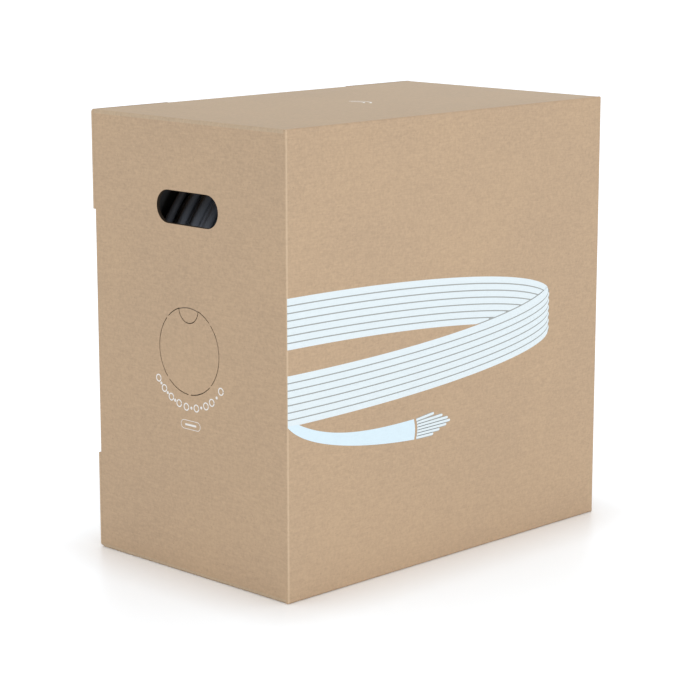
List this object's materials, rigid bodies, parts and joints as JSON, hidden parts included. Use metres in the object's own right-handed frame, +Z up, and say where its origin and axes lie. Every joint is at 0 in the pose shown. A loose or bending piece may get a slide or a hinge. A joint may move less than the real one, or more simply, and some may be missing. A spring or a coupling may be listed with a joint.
{
  "type": "cable spool box",
  "caption": "Folded corrugated carton with hand holes, a perforated pay-out port and a tuck-in door, holding a spool of data cable that turns on an axle across the box.",
  "frame": {"origin": "on the floor, under the middle of the box's overall width and depth", "axes": "+X towards the printed side, -X towards the door, -Y towards the front end with the pay-out port, +Z up"},
  "size_m": [0.26, 0.428, 0.42],
  "materials": {
    "kraft_board": "matte",
    "kraft_inner": "matte",
    "paperboard_tube": "matte",
    "moulded_plastic": "matte",
    "zinc_steel": "satin",
    "cable_jacket": "satin",
    "paper_tape": "matte"
  },
  "bodies": {
    "carton": {"side_panel": "kraft_board", "front_panel": "kraft_board", "rear_panel": "kraft_board", "top_panel": "kraft_board", "bottom_panel": "kraft_board", "glue_flap_front_top": "kraft_inner", "glue_flap_front_bottom": "kraft_inner", "glue_flap_rear_top": "kraft_inner", "glue_flap_rear_bottom": "kraft_inner", "axle_brace_side": "kraft_inner", "axle_brace_door": "kraft_inner", "axle_tube": "paperboard_tube", "axle_plug_side": "moulded_plastic", "axle_plug_door": "moulded_plastic"},
    "port_disc": {"port_disc": "kraft_board"},
    "thumb_tab": {"thumb_tab": "kraft_board"},
    "door": {"door_panel": "kraft_board"},
    "front_tab": {"front_tab": "kraft_board"},
    "top_tab": {"top_tab": "kraft_board"},
    "bottom_tab": {"bottom_tab": "kraft_board"},
    "spool": {"spool_flange_side": "moulded_plastic", "spool_flange_door": "moulded_plastic", "winding_barrel": "paperboard_tube", "bushing_side": "moulded_plastic", "bushing_door": "moulded_plastic", "tie_bolts": "zinc_steel", "bolt_washers": "zinc_steel", "tie_nuts": "zinc_steel", "cable_winding": "cable_jacket", "cable_outer_turns": "cable_jacket", "end_tape": "paper_tape"}
  },
  "joints": [
    {"name": "spool_spin", "type": "hinge", "parent": "carton", "child": "spool", "pos_m": [0, 0, 0.21], "axis": [1, 0, 0], "continuous": true},
    {"name": "door_swing", "type": "hinge", "parent": "carton", "child": "door", "pos_m": [-0.1265, 0.214, 0.21], "axis": [0, 0, -1], "range_deg": [0, 170]},
    {"name": "front_tab_fold", "type": "hinge", "parent": "door", "child": "front_tab", "pos_m": [-0.1265, -0.20499, 0.21], "axis": [0, 0, 1], "range_deg": [0, 10]},
    {"name": "top_tab_fold", "type": "hinge", "parent": "door", "child": "top_tab", "pos_m": [-0.1265, 0, 0.4122], "axis": [0, 1, 0], "range_deg": [0, 10]},
    {"name": "bottom_tab_fold", "type": "hinge", "parent": "door", "child": "bottom_tab", "pos_m": [-0.1265, 0, 0.0078], "axis": [0, -1, 0], "range_deg": [0, 10]},
    {"name": "port_pull", "type": "slide", "parent": "carton", "child": "port_disc", "axis": [0, -1, 0], "range_m": [0, 0.06]},
    {"name": "thumb_push", "type": "hinge", "parent": "carton", "child": "thumb_tab", "pos_m": [0.00175, -0.2105, 0.2485], "axis": [1, 0, 0], "range_deg": [0, 75]}
  ]
}
